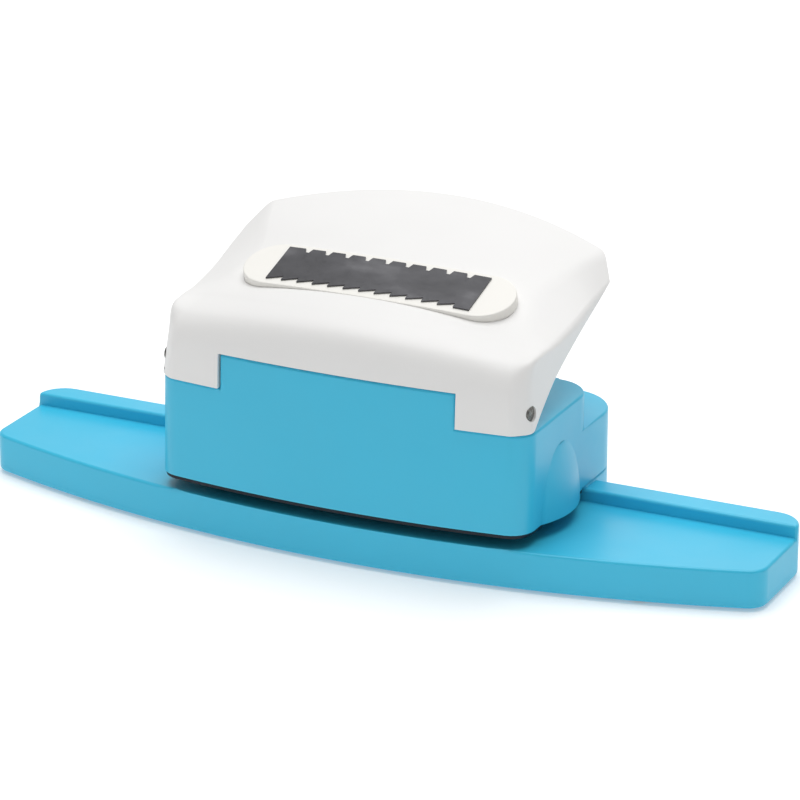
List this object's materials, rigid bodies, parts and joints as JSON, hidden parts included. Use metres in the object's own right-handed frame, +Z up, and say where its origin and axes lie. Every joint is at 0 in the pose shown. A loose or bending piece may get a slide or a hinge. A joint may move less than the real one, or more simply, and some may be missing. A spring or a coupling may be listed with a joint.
{
  "type": "craft punch",
  "caption": "Hand lever border punch: a hinged lever drives a toothed punch through paper laid on a long base with a fence.",
  "frame": {"origin": "on the surface the punch stands on, under the middle of its bounding box", "axes": "+X along the base to the user's right, +Y away from the user towards the fence and the hinged body's rear, +Z up"},
  "size_m": [0.2, 0.0636, 0.0713],
  "materials": {
    "blue_plastic": "moulded ABS, satin gloss",
    "white_plastic": "moulded ABS, fine satin",
    "badge_plastic": "moulded ABS, satin",
    "foil": "glossy dark metallised label",
    "tool_steel": "ground tool steel",
    "dark_steel": "blackened sheet steel",
    "rod_steel": "cut steel rod, rough ends",
    "spring_steel": "drawn spring wire",
    "zinc_screw": "zinc plated",
    "foot_rubber": "matt rubber",
    "grey_plastic": "matt acetal"
  },
  "bodies": {
    "frame": {"base": "blue_plastic", "body_shell": "blue_plastic", "foot_front_left": "foot_rubber", "foot_front_right": "foot_rubber", "foot_rear_left": "foot_rubber", "foot_rear_right": "foot_rubber", "die_plate": "tool_steel", "die_screw_left": "zinc_screw", "die_screw_right": "zinc_screw", "body_screw_left": "zinc_screw", "body_screw_right": "zinc_screw", "guide_plate": "dark_steel", "guide_screw_front_left": "zinc_screw", "guide_screw_front_right": "zinc_screw", "guide_screw_rear_left": "zinc_screw", "guide_screw_rear_right": "zinc_screw", "guide_post_left": "tool_steel", "guide_post_right": "tool_steel", "hinge_rod": "rod_steel"},
    "lever": {"lever": "white_plastic", "badge_plate": "badge_plastic", "pattern_foil": "foil"},
    "punch": {"punch_carrier": "grey_plastic", "punch_blade": "tool_steel", "carrier_screw_left": "zinc_screw", "carrier_screw_right": "zinc_screw", "return_spring_left": "spring_steel", "return_spring_right": "spring_steel"}
  },
  "joints": [
    {"name": "lever_hinge", "type": "hinge", "parent": "frame", "child": "lever", "pos_m": [0, -0.02395, 0.0421], "axis": [-1, 0, 0], "range_deg": [0, 21]},
    {"name": "punch_slide", "type": "slide", "parent": "frame", "child": "punch", "axis": [0, 0, -1], "range_m": [0, 0.00626], "stiffness_N_per_m": 1500, "springref_m": -0.004, "deforming": ["return_spring_left", "return_spring_right"]}
  ],
  "couplings": [
    {"joint": "lever_hinge", "follows": "punch_slide", "rad_per_m": 58.48}
  ]
}
